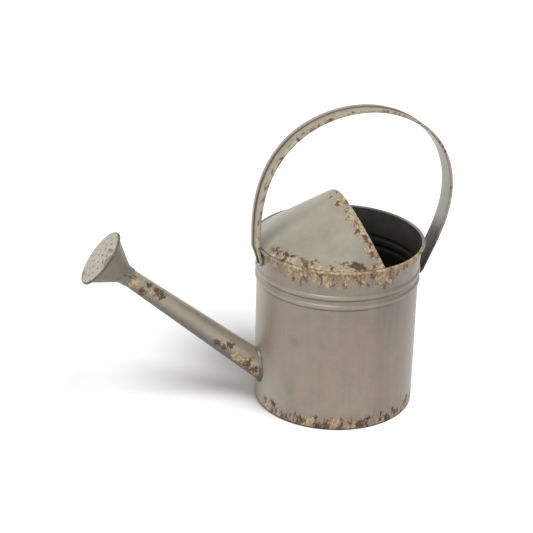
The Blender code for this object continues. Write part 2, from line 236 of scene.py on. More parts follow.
# Dark tone of the painted shade on the strap's inner face near the wall
STRAP_INSIDE_SHADE = tone(58, 54, 46)


def tone_setting(name, description, *levels):
    """Setting for a colour of the paint or the rust, given as for tone()."""
    return FloatVectorProperty(name=name, description=description, subtype="COLOR", size=3, default=tone(*levels))


def length_setting(name, description, default, low, high):
    """Setting for a length in metres."""
    return FloatProperty(
        name=name, description=description, subtype="DISTANCE", unit="LENGTH", default=default, min=low, max=high)


class WornSettings(bpy.types.PropertyGroup):
    """Tones of the paint and the rust, and how far the rust reaches."""

    paint_warm: tone_setting("Warm paint", "Pinkish taupe of the wall", 150, 133, 120)
    paint_cool: tone_setting("Cool paint", "Grey green that the paint turns to", 146, 141, 126)
    inside_paint: tone_setting("Inside", "Charcoal of the inside", 84, 83, 80)
    rust_dark: tone_setting("Dark rust", "Brown of the deepest patches", 72, 51, 38)
    rust_red: tone_setting("Red rust", "Red brown of most patches", 132, 96, 76)
    rust_tan: tone_setting("Tan", "Tan stain below the flakes", 160, 132, 103)
    rust_ochre: tone_setting("Ochre", "Ochre of the flakes", 188, 158, 104)
    rust_cream: tone_setting("Cream", "Palest flakes", 216, 203, 174)
    # The grime tone is also used as painted shade: along the foot of the wall, and on the strap's outer face near
    # the wall and in the middle of its front tail
    grime: tone_setting("Grime", "Dirt in creases and along the foot", 48, 43, 36)
    rim_reach: length_setting("Rim rust", "How far rust hangs below the mouth", 0.025, 0.002, 0.04)
    foot_reach: length_setting("Foot rust", "How far rust climbs from the foot", 0.017, 0.002, 0.04)
    cover_reach: length_setting("Cover rust", "How far rust spreads from the cover's edges", 0.014, 0.002, 0.04)


class ShapeSettings(bpy.types.PropertyGroup):
    """Sizes that change how the pieces are drawn."""

    bead_rise: length_setting("Bead rise", "Height of the pressed beads", BEAD_RISE, 0.0002, BEAD_HALF_WIDTH)
    wall_columns: IntProperty(
        name="Wall columns", description="Faces round the wall", default=ROUND_STEPS, min=48, max=720)
    hole_radius: length_setting(
        "Rose hole radius", "Radius of each hole of the rose", ROSE_HOLE_RADIUS, 0.0004, 0.0015)
    hole_rings: IntProperty(
        name="Rose rings", description="Rings of holes round the middle one", default=ROSE_RINGS, min=0, max=3)
    tail_width: length_setting(
        "Tail width", "Width at the tip of the handle's front tail", FRONT_TAIL_WIDTH, 0.004, STRAP_WIDTH)


class StageSettings(bpy.types.PropertyGroup):
    """Light on the can and on the floor."""

    key_strength: FloatProperty(
        name="Key lamp", description="Strength of the lamp that throws the can's shadow on the floor",
        default=3.2, min=0.0, max=20.0)
    key_angle: FloatProperty(
        name="Key softness", description="Width of the key lamp as the floor sees it", subtype="ANGLE",
        default=math.radians(38.0), min=0.0, max=math.radians(90.0))
    soft_power: FloatProperty(
        name="Soft lamp", description="Power of the soft lamp at the can's front left", unit="POWER",
        default=22.5, min=0.0, max=200.0)
    ambient: FloatProperty(
        name="Ambient", description="Strength of the white surroundings on the can", default=0.42, min=0.0, max=2.0)
    floor_gain: FloatProperty(
        name="Floor gain", description="How bright the camera sees the lit floor", default=1.0, min=0.5, max=3.0)


class WateringCanSettings(bpy.types.PropertyGroup):
    """All settings of the can."""

    worn: PointerProperty(type=WornSettings)
    shape: PointerProperty(type=ShapeSettings)
    stage: PointerProperty(type=StageSettings)


def arithmetic(operation, swapped=False):
    """Method that adds a Math node for a value and another term."""
    def method(self, other):
        return self.math(operation, other, swapped=swapped)
    return method


class Value:
    """Number on a socket; arithmetic on it adds the Math nodes that work it out."""

    def __init__(self, graph, socket):
        self.graph = graph
        self.socket = socket

    def math(self, operation, *others, swapped=False):
        """Math node of this operation on this value and others, which come first when swapped."""
        terms = (*others, self) if swapped else (self, *others)
        made = self.graph.node("ShaderNodeMath", {"operation": operation}, dict(enumerate(terms)))
        return Value(self.graph, made.outputs[0])

    __add__, __radd__ = arithmetic("ADD"), arithmetic("ADD", swapped=True)
    __sub__, __rsub__ = arithmetic("SUBTRACT"), arithmetic("SUBTRACT", swapped=True)
    __mul__, __rmul__ = arithmetic("MULTIPLY"), arithmetic("MULTIPLY", swapped=True)
    __truediv__, __rtruediv__ = arithmetic("DIVIDE"), arithmetic("DIVIDE", swapped=True)
    least, most = arithmetic("MINIMUM"), arithmetic("MAXIMUM")

    def __neg__(self):
        return self * -1.0

    def __abs__(self):
        return self.math("ABSOLUTE")

    def ramp(self, start, end):
        """Smooth step from 0 at start to 1 at end; the start may be the larger one."""
        made = self.graph.node(
            "ShaderNodeMapRange", {"interpolation_type": "SMOOTHSTEP"},
            {"Value": self, "From Min": start, "From Max": end})
        return Value(self.graph, made.outputs["Result"])


class Graph:
    """Nodes of one finish or one shape."""

    def __init__(self, tree):
        self.tree = tree
        self.tree.nodes.clear()

    def node(self, kind, settings=None, inputs=None):
        """Add a node: its settings first, then the values or links of its sockets."""
        made = self.tree.nodes.new(kind)
        for name, value in (settings or {}).items():
            setattr(made, name, value)
        for key, value in (inputs or {}).items():
            source = value.socket if isinstance(value, Value) else value
            if isinstance(source, bpy.types.NodeSocket):
                self.tree.links.new(source, made.inputs[key])
            else:
                made.inputs[key].default_value = source
        return made

    def value(self, kind, settings=None, inputs=None, output=0):
        """Add a node and return one of its outputs as a value."""
        return Value(self, self.node(kind, settings, inputs).outputs[output])


class Finish(Graph):
    """Material of one piece, drawn on Object coordinates."""

    def __init__(self, name):
        self.material = bpy.data.materials.new(name)
        self.material.use_nodes = True
        super().__init__(self.material.node_tree)
        self.point = self.node("ShaderNodeTexCoord").outputs["Object"]
        parts = self.node("ShaderNodeSeparateXYZ", inputs={0: self.point})
        self.x, self.y, self.z = (Value(self, socket) for socket in parts.outputs)

    def stretched(self, scales, point=None):
        """The point with each axis scaled, for grain that runs one way."""
        made = self.node("ShaderNodeVectorMath", {"operation": "MULTIPLY"}, {0: point or self.point, 1: scales})
        return made.outputs[0]

    def moved(self, offset, point=None):
        """The point shifted, so that two patterns of one kind differ."""
        made = self.node("ShaderNodeVectorMath", {"operation": "ADD"}, {0: point or self.point, 1: offset})
        return made.outputs[0]

    def from_axis(self):
        """Distance from the can's upright axis."""
        return (self.x * self.x + self.y * self.y).math("SQRT")

    def noise(self, scale, detail=3.0, roughness=0.55, point=None):
        """Cloudy noise from 0 to 1 with features about one over scale metres wide."""
        return self.value("ShaderNodeTexNoise", inputs={
            "Vector": point or self.point, "Scale": scale, "Detail": detail, "Roughness": roughness})

    def wobble(self, scale, amount, point=None):
        """The point pushed about by noise, so that a border through it runs ragged."""
        made = self.node("ShaderNodeTexNoise", inputs={
            "Vector": point or self.point, "Scale": scale, "Detail": 3.0})
        centred = self.node("ShaderNodeVectorMath", {"operation": "SUBTRACT"}, {
            0: made.outputs["Color"], 1: (0.5, 0.5, 0.5)})
        return self.node("ShaderNodeVectorMath", {"operation": "MULTIPLY_ADD"}, {
            0: centred.outputs[0], 1: (amount, amount, amount), 2: point or self.point}).outputs[0]

    def spots(self, places):
        """Largest of some round spots, each 1 in its middle and 0 at its radius."""
        found = None
        for x, y, z, radius in places:
            away = self.value("ShaderNodeVectorMath", {"operation": "DISTANCE"}, {
                0: self.point, 1: (x, y, z)}, output="Value")
            here = (1.0 - away / radius).most(0.0)
            found = here if found is None else found.most(here)
        return found

    def blend(self, share, under, over, kind="MIX"):
        """Colour over laid on colour under by a share."""
        inputs = {0: share, 6: self.as_color(under), 7: self.as_color(over)}
        made = self.node("ShaderNodeMix", {"data_type": "RGBA", "blend_type": kind, "clamp_factor": True}, inputs)
        return made.outputs[2]

    @staticmethod
    def as_color(value):
        """A socket as it is, or three numbers with an alpha of 1."""
        if isinstance(value, bpy.types.NodeSocket):
            return value
        return (*value, 1.0)

    def toned(self, color, level):
        """Colour made lighter or darker by a value near 1."""
        grey = self.node("ShaderNodeCombineColor", inputs={0: level, 1: level, 2: level}).outputs[0]
        return self.blend(1.0, color, grey, kind="MULTIPLY")

    def bump(self, height, distance, strength=1.0, under=None):
        """Normal of a small relief, on top of another one."""
        inputs = {"Height": height, "Distance": distance, "Strength": strength}
        if under is not None:
            inputs["Normal"] = under
        return self.node("ShaderNodeBump", inputs=inputs).outputs[0]

    def finish(self, color, roughness, normal, metallic=0.0, coat=0.0, specular=0.5):
        """Close the material with its shader."""
        shader = self.node("ShaderNodeBsdfPrincipled", inputs={
            "Base Color": color, "Roughness": roughness, "Metallic": metallic,
            "Coat Weight": coat, "Coat Roughness": COAT_ROUGHNESS, "Specular IOR Level": specular,
            "Normal": normal})
        self.node("ShaderNodeOutputMaterial", inputs={"Surface": shader.outputs[0]})
        return self.material


def paint_coat(finish, settings, grain=UPRIGHT_GRAIN, warmth=0.5):
    """Aged paint: broad warm and cool clouds, fine streaks along the grain, and small specks."""
    clouds = finish.noise(22.0, detail=5.0, roughness=0.6, point=finish.stretched((1.0, 1.0, 0.8)))
    smudges = finish.noise(46.0, detail=4.0, roughness=0.6, point=finish.moved((0.4, 0.9, 0.2)))
    streaks = finish.noise(1.0, detail=4.0, roughness=0.6, point=finish.stretched(grain))
    mottle = finish.noise(90.0, detail=5.0, roughness=0.65)
    specks = finish.noise(1100.0, detail=2.0)
    share = ((clouds - 0.5) * 1.5 + (mottle - 0.5) * 2.0 + warmth).least(1.0).most(0.0)
    color = finish.blend(share, settings.paint_cool, settings.paint_warm)
    level = 0.28 + (clouds + smudges) * 0.26 + streaks * 0.26 + mottle * 0.46 + specks * 0.20
    return finish.toned(color, level), streaks, mottle


def rust_over(finish, settings, color, reach, brown=0.5, pale=0.5, hang=1.0):
    """Lay rust on a colour where reach is high.

    The paint is gone in ragged masses: cream, ochre and tan inside, brown along their
    borders and in spots, with a stain round them. Brown and pale say how much there is
    of each, and a hang below 1 draws the masses out along Z. Returns the colour, the
    share of flakes and the share of brown.
    """
    drawn = finish.stretched((1.0, 1.0, hang))
    point = finish.wobble(300.0, 0.0032, point=drawn)
    patch = finish.noise(120.0, detail=4.0, roughness=0.62, point=point)
    fine = finish.noise(480.0, detail=4.0, roughness=0.7, point=drawn)
    tint = finish.noise(230.0, detail=3.0, point=finish.moved((0.31, 0.17, 0.05)))
    blots = finish.noise(150.0, detail=3.0, roughness=0.62, point=finish.moved((0.7, 0.1, 0.4), point))
    near = reach.ramp(0.0, 0.22)

    field = reach + (patch - 0.5) * 2.6 + (fine - 0.5) * 1.0 + (pale - 0.5)
    color = finish.blend(field.ramp(0.10, 0.60) * near * 0.60, color, settings.rust_tan)
    flaked = field.ramp(0.42, 0.70) * near
    flakes = finish.blend((tint + (fine - 0.5)).ramp(0.42, 0.58), settings.rust_ochre, settings.rust_cream)
    flakes = finish.blend(fine.ramp(0.54, 0.36) * 0.85, flakes, settings.rust_tan)
    color = finish.blend(flaked * 0.88, color, flakes)

    border = 1.0 - (abs(field - 0.52) / 0.26).ramp(0.35, 1.0)
    blotted = (blots - 0.5) * 3.6 + (fine - 0.5) * 0.9 + (brown - 0.5)
    browned = (blotted + border * 0.30).ramp(0.18, 0.54) * near
    deep = (blotted + (tint - 0.5) * 1.5 + (brown - 0.5) * 1.5).ramp(0.15, 0.75)
    shade = finish.blend(deep, settings.rust_red, settings.rust_dark)
    return finish.blend(browned * 0.92, color, shade), flaked, browned


def relief(finish, rust, dark, streaks, mottle):
    """Relief of the worn surface: gentle dents, fine brushing, and rough rust."""
    dents = finish.noise(20.0, detail=1.0)
    crust = finish.noise(900.0, detail=4.0, roughness=0.7)
    base = finish.bump(dents, 0.0008, 0.4)
    brushed = finish.bump(streaks + mottle * 0.6, 0.00012, 0.5, under=base)
    return finish.bump(crust * rust + dark * 0.5, 0.0003, 0.8, under=brushed)


def worn_shader(finish, color, rust, dark, streaks, mottle):
    """Close an outside finish: the paint has a soft shine, the rust is rough and dull."""
    worn = rust.most(dark)
    normal = relief(finish, rust, dark, streaks, mottle)
    return finish.finish(
        color, PAINT_ROUGHNESS + mottle * 0.12 + worn * 0.30, normal,
        metallic=PAINT_METALLIC - worn * PAINT_METALLIC, coat=PAINT_COAT - worn * 0.45)


def wall_wear(finish, settings):
    """How far rust has come down from the wall's rim and up from its foot."""
    around = finish.noise(17.0, detail=1.0).ramp(0.40, 0.62) * finish.y.ramp(0.010, 0.040) * 0.6
    worn = finish.spots(RIM_WEAR)
    worn = worn.most(around * finish.z.ramp(WIRE_HEIGHT - 0.001, WIRE_HEIGHT - 0.003))
    below = (RIM_HEIGHT - finish.z) / settings.rim_reach
    sag = finish.noise(42.0, detail=1.0, point=finish.stretched((1.0, 1.0, 0.2))) * 1.9
    rim = (1.0 - below / sag) * worn.ramp(0.0, 0.6) * finish.z.ramp(BEAD_HEIGHTS[1], BEAD_HEIGHTS[1] + 0.004)
    foot = (1.0 - finish.z / settings.foot_reach) * finish.spots(FOOT_WEAR).most(around).ramp(0.0, 0.6)
    return rim, foot


def wall_level(finish):
    """Lightness of the wall, with painted light and shade: painted shade in the hollow below each bead and a painted
    highlight along its top, painted shade on the front's right half, a painted highlight low on the front, painted
    light on the lower wall, and the far side of the wired edge darker.
    """
    crease = finish.noise(160.0, detail=2.0)
    level = 1.0 - finish.y.ramp(0.0, 0.04) * finish.z.ramp(WIRE_HEIGHT - 0.002, WIRE_HEIGHT) * 0.5
    # Painted shade: a dark line in the hollow below each bead; painted highlight: a light line along the bead's top
    for height in BEAD_HEIGHTS:
        line = 1.0 - (abs(finish.z - (height - BEAD_HALF_WIDTH)) / 0.0010).ramp(0.2, 1.0)
        level = level * (1.0 - line * (0.48 + crease * 0.25))
        level = level * (1.0 + (1.0 - abs(finish.z - height - 0.0006) / 0.0014).ramp(0.0, 1.0) * 0.26)
    # Painted shade: the right half of the front is darkened, more in its upper part
    right = finish.x.ramp(-0.004, 0.014) * finish.y.ramp(0.02, -0.02)
    level = level * (1.0 - right * (0.115 + finish.z.ramp(0.085, 0.112) * 0.060))
    # Painted highlight: a round spot low on the front is lightened
    level = level * (1.0 + finish.spots(PAINTED_HIGHLIGHT_WALL) * 0.12)
    # Painted light: the lower wall is made a little lighter, the rest a little darker
    return level * (finish.z.ramp(0.115, 0.050) * 0.07 + 0.97)


def outside_finish(settings):
    """Finish of the wall's outside: rust hangs from the rim and climbs from the foot, with a painted sheen along its
    left edge and painted shade along the foot.
    """
    finish = Finish("aged_wall")
    color, streaks, mottle = paint_coat(finish, settings, warmth=finish.z.ramp(0.130, 0.110) * 0.30 + 0.42)
    color = finish.toned(color, wall_level(finish))
    # Painted sheen: the wall is lightened towards a pale tone along its left edge as the camera sees it, and in two
    # spots low on that edge
    left = (finish.x * SHEEN_SIDE_WAY[0] + finish.y * SHEEN_SIDE_WAY[1]).ramp(0.058, 0.075) * 0.35
    color = finish.blend(left + finish.spots(PAINTED_SHEEN_WALL) * 0.5, color, PAINTED_SHEEN_TONE)
    smears = finish.spots(SMEARED_WALL)
    color = finish.toned(color, 1.0 - (smears + (mottle - 0.5) * 2.0).ramp(0.3, 1.1) * 0.22)
    rim, foot = wall_wear(finish, settings)
    runs = finish.noise(75.0, point=finish.stretched((1.0, 1.0, 0.4)))
    drips = (rim + (runs - 0.5) * 2.4).ramp(0.30, 0.75)
    color = finish.blend(drips * rim.ramp(0.0, 0.15) * 0.55, color, DRIP_STAIN)
    low = finish.z.ramp(0.05, 0.03)
    color, rust, dark = rust_over(
        finish, settings, color, rim.most(foot).most(0.0), brown=low * 0.14 + 0.45, pale=0.48 - low * 0.06, hang=0.6)
    # Painted shade: the grime tone darkens the lowest few millimetres of the wall along the foot
    color = finish.blend(finish.z.ramp(0.0026, 0.0008) * 0.85, color, settings.grime)
    return worn_shader(finish, color, rust, dark, streaks, mottle)


def inside_finish(settings):
    """Charcoal finish of the can's inside, with painted shade that darkens it towards the bottom."""
    finish = Finish("dark_inside")
    streaks = finish.noise(1.0, detail=4.0, point=finish.stretched((150.0, 150.0, 9.0)))
    mottle = finish.noise(70.0, detail=4.0)
    # Painted shade: the inside darkens towards the bottom
    deep = finish.z.ramp(0.118, 0.160) * 0.86 + 0.14
    color = finish.toned(settings.inside_paint, (0.42 + streaks * 0.34 + mottle * 0.42) * deep)
    normal = finish.bump(streaks + mottle, 0.0001, 0.6)
    return finish.finish(color, 0.55 + mottle * 0.15, normal, metallic=0.1, specular=0.2)


def base_finish(settings):
    """Finish of the bottom: rust round its edge."""
    finish = Finish("aged_base")
    color, streaks, mottle = paint_coat(finish, settings, grain=(90.0, 90.0, 90.0), warmth=0.7)
    reach = ((finish.from_axis() / WALL_BORE_RADIUS - 0.72) * 3.0).most(0.0)
    color, rust, dark = rust_over(finish, settings, color, reach)
    return worn_shader(finish, color, rust, dark, streaks, mottle)


def cover_finish(settings):
    """Finish of the half cover: rust along its foot and its free edge, painted light over the cover and more on its
    far half, and a painted shade band beside the strap.
    """
    finish = Finish("aged_cover")
    edge_x = -COVER_RADIUS * math.cos(COVER_HALF_ANGLE)
    lift = finish.z - RIM_HEIGHT
    inward = -((finish.x - edge_x) * math.cos(COVER_LEAN) + lift * math.sin(COVER_LEAN))
    edge = (1.0 - inward / settings.cover_reach) * finish.spots(COVER_EDGE_WEAR).ramp(0.0, 0.6)
    seat = (1.0 - lift / (settings.cover_reach * 0.46)) * finish.spots(COVER_SEAT_WEAR).ramp(0.0, 0.5)
    side = finish.y / (0.02 + finish.from_axis())
    # Share of the painted shade band beside the strap, towards the spout end
    fold = (1.0 - abs(side - 0.10) / 0.20).ramp(0.0, 1.0) * finish.x.ramp(0.0, -0.055)
    color, streaks, mottle = paint_coat(finish, settings, grain=(60.0, 60.0, 60.0), warmth=0.0)
    # Painted light lifts the whole cover and more its far half; painted shade darkens the band beside the strap
    color = finish.toned(color, 1.12 + finish.y.ramp(-0.060, 0.0) * 0.26 - fold * 0.34)
    color, rust, dark = rust_over(
        finish, settings, color, edge.most(seat).most(0.0), brown=finish.spots(COVER_BROWN) * 0.7 + 0.52)
    return worn_shader(finish, color, rust, dark, streaks, mottle)


def spout_place():
    """Matrix of the spout: origin where its axis meets the wall, Z towards the rose."""
    foot = Vector((-math.cos(SPOUT_SIDE_ANGLE), math.sin(SPOUT_SIDE_ANGLE), 0.0)) * WALL_RADIUS
    foot.z = SPOUT_FOOT_HEIGHT
    turn = Matrix.Rotation(-SPOUT_HEADING, 4, "Z")
    tilt = Matrix.Rotation(SPOUT_SLOPE - math.pi / 2.0, 4, "Y")
    return Matrix.Translation(foot) @ turn @ tilt


def spout_axes(finish):
    """The point in the spout's own axes, as a vector and as three values."""
    place = spout_place()
    mapping = finish.node("ShaderNodeMapping", {"vector_type": "TEXTURE"}, {
        "Vector": finish.point, "Location": place.translation, "Rotation": place.to_euler()})
    parts = finish.node("ShaderNodeSeparateXYZ", inputs={0: mapping.outputs[0]})
    return mapping.outputs[0], [Value(finish, socket) for socket in parts.outputs]


def spout_finish(settings):
    """Finish of the spout: pale and brown patches near the rose and near the can, a dull underside with painted
    shade on it, and painted shade where it meets the wall.
    """
    finish = Finish("aged_spout")
    own, (high, _, _) = spout_axes(finish)
    color, streaks, mottle = paint_coat(finish, settings, warmth=0.3)
    drawn = finish.noise(1.0, detail=4.0, point=finish.stretched((260.0, 260.0, 9.0), own))
    # Painted shade darkens the spout's underside, which the same share also makes less glossy
    under = high.ramp(0.004, -SPOUT_FOOT_RADIUS * 0.7)
    color = finish.toned(color, (1.16 + drawn * 0.30) * (1.0 - under * 0.66))
    reach = finish.spots(SPOUT_FLAKES).ramp(0.0, 0.9)
    color, rust, dark = rust_over(finish, settings, color, reach, brown=0.36)
    brown = finish.spots(SPOUT_BROWN)
    ragged = finish.noise(420.0, detail=4.0, roughness=0.65)
    blot = (brown + (ragged - 0.5) * 3.0).ramp(0.32, 0.50) * brown.ramp(0.0, 0.15)
    shade = finish.blend(ragged.ramp(0.5, 0.7), settings.rust_dark, settings.rust_red)
    color = finish.blend(blot * 0.9, color, shade)
    # Painted shade darkens the spout where it meets the wall
    away = finish.from_axis() - WALL_RADIUS
    color = finish.toned(color, away.ramp(0.0006, 0.0045) * 0.55 + 0.45)
    worn = rust.most(dark).most(blot)
    normal = relief(finish, rust, dark.most(blot), streaks, mottle)
    gloss = (1.0 - worn) * (1.0 - under)
    return finish.finish(
        color, PAINT_ROUGHNESS + worn * 0.3, normal, metallic=gloss * PAINT_METALLIC, coat=gloss * 0.4)


def cone_finish(settings):
    """Finish of the rose's funnel: brown stain towards its lower side, and painted shade that darkens its lower
    part.
    """
    finish = Finish("aged_cone")
    low = ((0.150 - finish.z) / 0.016).most(0.0).least(0.75)
    color, streaks, mottle = paint_coat(finish, settings, warmth=0.2)
    # Painted shade: the funnel is darker towards its lower part and lighter at its top
    color = finish.toned(color, 0.80 + finish.z.ramp(0.140, 0.165) * 0.36)
    color, rust, dark = rust_over(finish, settings, color, low * 0.5, brown=0.45, pale=0.3)
    normal = relief(finish, rust, dark, streaks, mottle)
    return finish.finish(color, 0.50 + dark * 0.3, normal, metallic=0.2 - dark * 0.2, coat=0.1)


def plate_finish(settings):
    """Finish of the rose's face: pale, stained grey brown round the edge, with a painted shadow along its rim."""
    finish = Finish("aged_rose")
    _, (wide, across, _) = spout_axes(finish)
    away = (wide * wide + across * across).math("SQRT") / ROSE_RADIUS
    color = finish.blend(finish.noise(120.0, detail=4.0), *ROSE_TONES)
    grime = finish.noise(210.0, detail=5.0, roughness=0.65, point=finish.moved((0.2, 0.5, 0.1)))
    stain = (away - 0.78).most(0.0) * 1.6 + finish.spots(ROSE_WEAR) * 0.9 + (grime - 0.5) * 2.6
    color = finish.blend(stain.ramp(0.30, 0.60) * 0.75, color, ROSE_STAIN)
    # Painted shadow: a dark ring along the rim of the rose's face
    color = finish.blend(away.ramp(0.945, 0.975) * 0.85, color, ROSE_RIM_SHADOW)
    normal = finish.bump(grime, 0.0002, 0.6)
    return finish.finish(color, 0.62, normal, metallic=0.1)


def strap_outside_finish(settings):
    """Finish of the strap's outer face: pale web, painted shade in the creases beside both hems, worn near hem, and
    painted shade near the wall and in the front tail.
    """
    finish = Finish("aged_strap")
    side = abs(finish.y)
    fold = STRAP_WIDTH / 2.0 - HEM_FOLD
    ragged = finish.noise(140.0, detail=4.0, point=finish.moved((0.3, 0.3, 0.3)))
    near = (-finish.y).ramp(fold, fold + HEM_EDGE)
    color, streaks, mottle = paint_coat(finish, settings, grain=STRAP_GRAIN, warmth=0.3)
    web = finish.blend(ragged.ramp(0.35, 0.6), *WEB_TONES)
    color = finish.blend(side.ramp(fold, fold - 0.0008) * 0.75, color, web)
    color = finish.blend(finish.y.ramp(fold, fold + HEM_EDGE) * 0.60, color, FAR_HEM_PAINT)
    color = finish.blend(near * 0.65, color, finish.blend(ragged.ramp(0.4, 0.6), *NEAR_HEM_TONES))
    reach = near * 0.34 + (-finish.y).ramp(0.0078, 0.0094) * 0.16
    color, rust, dark = rust_over(finish, settings, color, reach, brown=0.42, pale=0.35)
    # Painted shade: a dark line beside each hem, fading out towards the crown
    crease = 1.0 - (abs(side - fold) / 0.0016).ramp(0.25, 1.0)
    color = finish.toned(color, 1.0 - crease * finish.z.ramp(0.282, 0.262) * (0.20 + ragged * 0.25))
    # Painted shade with the grime tone: the rear leg's outer face low down near the wall, and the middle of the
    # front tail's web
    behind = finish.x.ramp(0.05, 0.08) * finish.z.ramp(0.165, 0.142)
    tongue = finish.x.ramp(-0.05, -0.06) * finish.z.ramp(0.1640, 0.1600) * side.ramp(0.0042, 0.0030)
    color = finish.blend((behind * 0.80).most(tongue * 0.85), color, settings.grime)
    normal = relief(finish, rust, dark, streaks, mottle)
    worn = rust.most(dark)
    return finish.finish(color, 0.44 + worn * 0.3, normal, metallic=0.30 - worn * 0.30, coat=0.2)


def strap_inside_finish(settings):
    """Finish of the strap's inner face: cool grey, with painted shade where it comes down to the wall."""
    finish = Finish("aged_strap_inside")
    color, streaks, mottle = paint_coat(finish, settings, grain=STRAP_GRAIN, warmth=0.0)
    color = finish.blend(0.7, color, STRAP_INSIDE_PAINT)
    # Painted shade: the rear leg's inner face darkens low down, near the wall
    behind = finish.x.ramp(0.05, 0.08) * finish.z.ramp(0.173, 0.150)
    color = finish.blend(behind * 0.90, color, STRAP_INSIDE_SHADE)
    edge = (-finish.y / (STRAP_WIDTH / 2.0)).ramp(0.82, 1.0)
    color = finish.blend(edge * 0.5, color, settings.rust_dark)
    normal = finish.bump(streaks + mottle, 0.0001, 0.5)
    return finish.finish(color, 0.40, normal, metallic=0.35, coat=0.3)


def circle(radius, height, steps):
    """Points of a level circle round the Z axis."""
    turns = (math.tau * i / steps for i in range(steps))
    return [Vector((radius * math.cos(a), radius * math.sin(a), height)) for a in turns]


def arc(center, radius, start, end, steps, reach=None):
    """Points of an arc in a radius-height plane, both ends included.

    The angles are in degrees. A reach makes the arc part of an ellipse, that wide and
    as tall as the radius.
    """
    wide = reach or radius
    angles = (math.radians(start + (end - start) * i / steps) for i in range(steps + 1))
    return [(center[0] + wide * math.cos(a), center[1] + radius * math.sin(a)) for a in angles]


def skin(rings, closed_path):
    """Skin a row of rings of equal length; an open row gets a face at each end."""
    built = bmesh.new()
    loops = [[built.verts.new(point) for point in ring] for ring in rings]
    pairs = list(zip(loops, loops[1:]))
    if closed_path:
        pairs.append((loops[-1], loops[0]))
    else:
        built.faces.new(loops[0])
        built.faces.new(loops[-1])
    for lower, upper in pairs:
        for i, corner in enumerate(lower):
            j = (i + 1) % len(lower)
            built.faces.new((corner, lower[j], upper[j], upper[i]))
    bmesh.ops.recalc_face_normals(built, faces=built.faces)
    return built


def show_piece(name, built, *finishes):
    """Turn a bmesh into a smooth shaded object with its finishes."""
    mesh = bpy.data.meshes.new(name)
    built.to_mesh(mesh)
    built.free()
    for finish in finishes:
        mesh.materials.append(finish)
    mesh.shade_smooth()
    mesh.set_sharp_from_angle(angle=SMOOTH_ANGLE)
    piece = bpy.data.objects.new(name, mesh)
    bpy.context.scene.collection.objects.link(piece)
    return piece


def stand_for(piece, node):
    """Let a piece stand for its node: hide the node and let the piece ride with the can."""
    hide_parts(node)
    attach(piece, "root")


def applied(piece):
    """Turn a piece's modifiers into its plain mesh."""
    graph = bpy.context.evaluated_depsgraph_get()
    mesh = bpy.data.meshes.new_from_object(piece.evaluated_get(graph), depsgraph=graph)
    piece.modifiers.clear()
    old = piece.data
    piece.data = mesh
    bpy.data.meshes.remove(old)
    mesh.name = piece.name
    return piece


def paint_inside(piece, is_inside):
    """Give a piece's second finish to the faces for which is_inside holds."""
    for face in piece.data.polygons:
        face.material_index = int(is_inside(face))


def bead_outline(radius, height, rise):
    """Arc of one pressed bead, from below to above."""
    bend = (BEAD_HALF_WIDTH ** 2 + rise ** 2) / (2.0 * rise)
    reach = math.degrees(math.asin(BEAD_HALF_WIDTH / bend))
    return arc((radius + rise - bend, height), bend, -reach, reach, BEAD_STEPS)


def wall_radius(height):
    """Outside radius of the plain wall, which flares a little above the beads."""
    share = (height - FLARE_START) / (WIRE_HEIGHT - FLARE_START)
    return WALL_RADIUS + MOUTH_FLARE * min(max(share, 0.0), 1.0)


def wall_profile(rise):
    """Section of the wall: up the outside, round the wired edge, and down the bore."""
    foot = (WALL_RADIUS - FOOT_ROUND, FOOT_ROUND)
    outside = arc(foot, FOOT_ROUND, -90.0, 0.0, EDGE_STEPS)
    for height in BEAD_HEIGHTS:
        outside += bead_outline(WALL_RADIUS, height, rise)
    wire = (LIP_RADIUS - WIRED_EDGE_RADIUS, WIRE_HEIGHT)
    outside += arc(wire, WIRED_EDGE_RADIUS, -150.0, 90.0, WIRED_EDGE_STEPS)
    fold = wire[0] - (MOUTH_RADIUS - SHEET)
    inside = arc(wire, WIRED_EDGE_RADIUS, 90.0, 180.0, EDGE_STEPS, reach=fold)[1:]
    for height in reversed(BEAD_HEIGHTS):
        inside += reversed(bead_outline(WALL_BORE_RADIUS, height, rise))
    inside.append((WALL_BORE_RADIUS, 0.0))
    return outside, inside


def wall_columns(steps):
    """Angles round the wall, with how far the lapped seam lifts the outside there."""
    half = SEAM_WIDTH / 2.0 / WALL_RADIUS
    slope = SEAM_RISE / WALL_RADIUS
    columns = {
        SEAM_ANGLE - half - slope: 0.0,
        SEAM_ANGLE - half: SEAM_RISE,
        SEAM_ANGLE + half: SEAM_RISE,
        SEAM_ANGLE + half + slope: 0.0,
    }
    for i in range(steps):
        angle = math.tau * i / steps
        if abs(angle - SEAM_ANGLE) > half + 2.0 * slope:
            columns[angle] = 0.0
    return sorted(columns.items())


def cover_point(turn, up, inset):
    """Point of the cover: turn runs over the arch from -1 to 1, up from the mouth to the free edge."""
    radius = COVER_RADIUS - inset
    angle = turn * COVER_HALF_ANGLE
    seat = Vector((-radius * math.cos(angle), radius * math.sin(angle), RIM_HEIGHT))
    across = math.copysign(abs(turn) ** COVER_FAN, turn)
    rise = (COVER_RISE - inset) * (1.0 - abs(across) ** COVER_ARCH)
    arch = Vector((
        -radius * math.cos(COVER_HALF_ANGLE) - rise * math.sin(COVER_LEAN),
        radius * math.sin(COVER_HALF_ANGLE) * across,
        RIM_HEIGHT + rise * math.cos(COVER_LEAN),
    ))
    return seat.lerp(arch, up)


def cover_skirt(turn, inset):
    """Lower edge of the cover's skirt, inside the mouth."""
    height = RIM_HEIGHT - COVER_SKIRT
    radius = wall_radius(height) - SHEET - GAP - inset
    angle = turn * COVER_HALF_ANGLE
    return Vector((-radius * math.cos(angle), radius * math.sin(angle), height))


